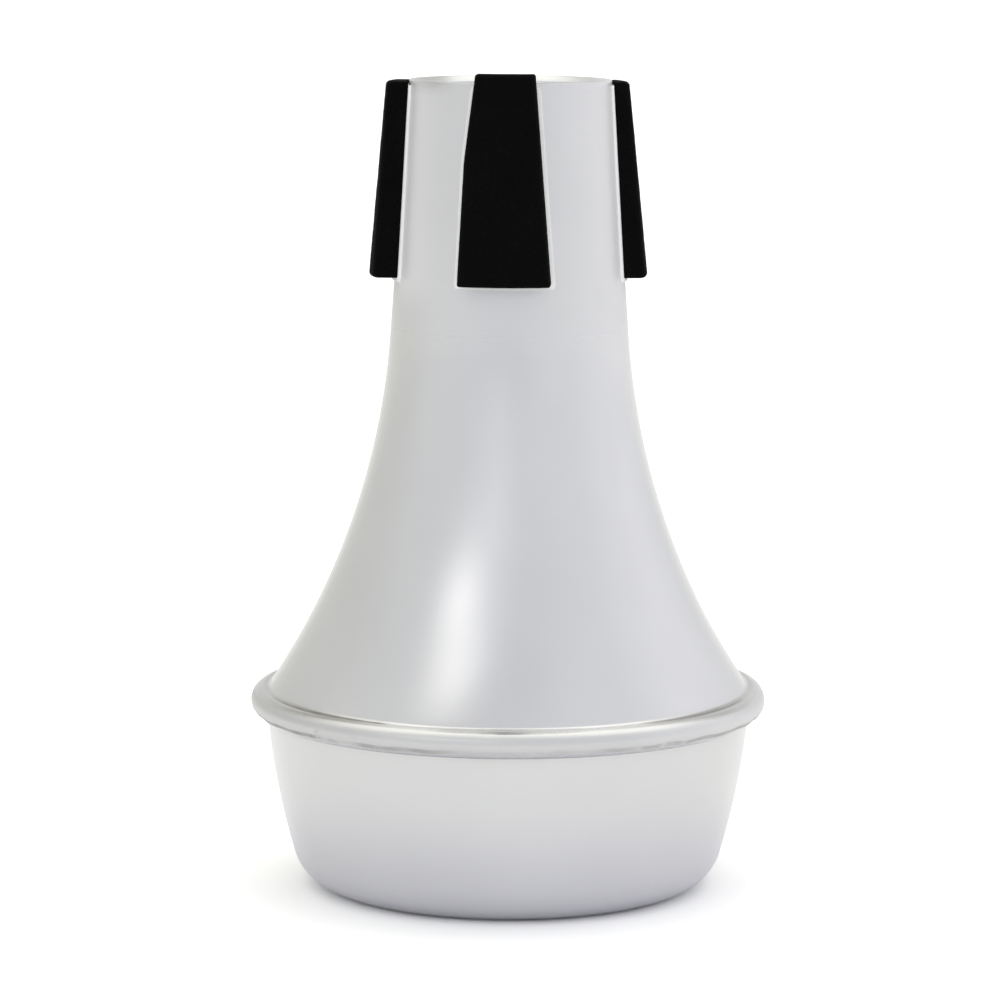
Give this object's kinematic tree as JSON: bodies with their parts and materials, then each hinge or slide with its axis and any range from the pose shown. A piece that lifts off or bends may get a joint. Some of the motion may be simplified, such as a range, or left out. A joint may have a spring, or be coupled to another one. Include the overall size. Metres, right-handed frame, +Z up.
{
  "type": "straight mute",
  "caption": "Straight mute for a trumpet: open flared aluminium body, rolled seam, closed base cup and foam pads taped round the neck.",
  "frame": {"origin": "centre of the flat foot, on the surface that the mute stands on", "axes": "+Z up the mute's axis, from the closed base cup to the open neck; the front pad faces -Y"},
  "size_m": [0.0922, 0.0922, 0.146],
  "materials": {
    "satin_aluminium": "satin, spun, clear and uncoloured",
    "white_tape": "matt white double-sided tape",
    "black_foam": "matt black closed-cell foam"
  },
  "bodies": {
    "root": {"body_shell": "satin_aluminium", "base_cup": "satin_aluminium", "tape_front": "white_tape", "pad_front": "black_foam", "tape_left": "white_tape", "pad_left": "black_foam", "tape_right": "white_tape", "pad_right": "black_foam"}
  },
  "joints": []
}
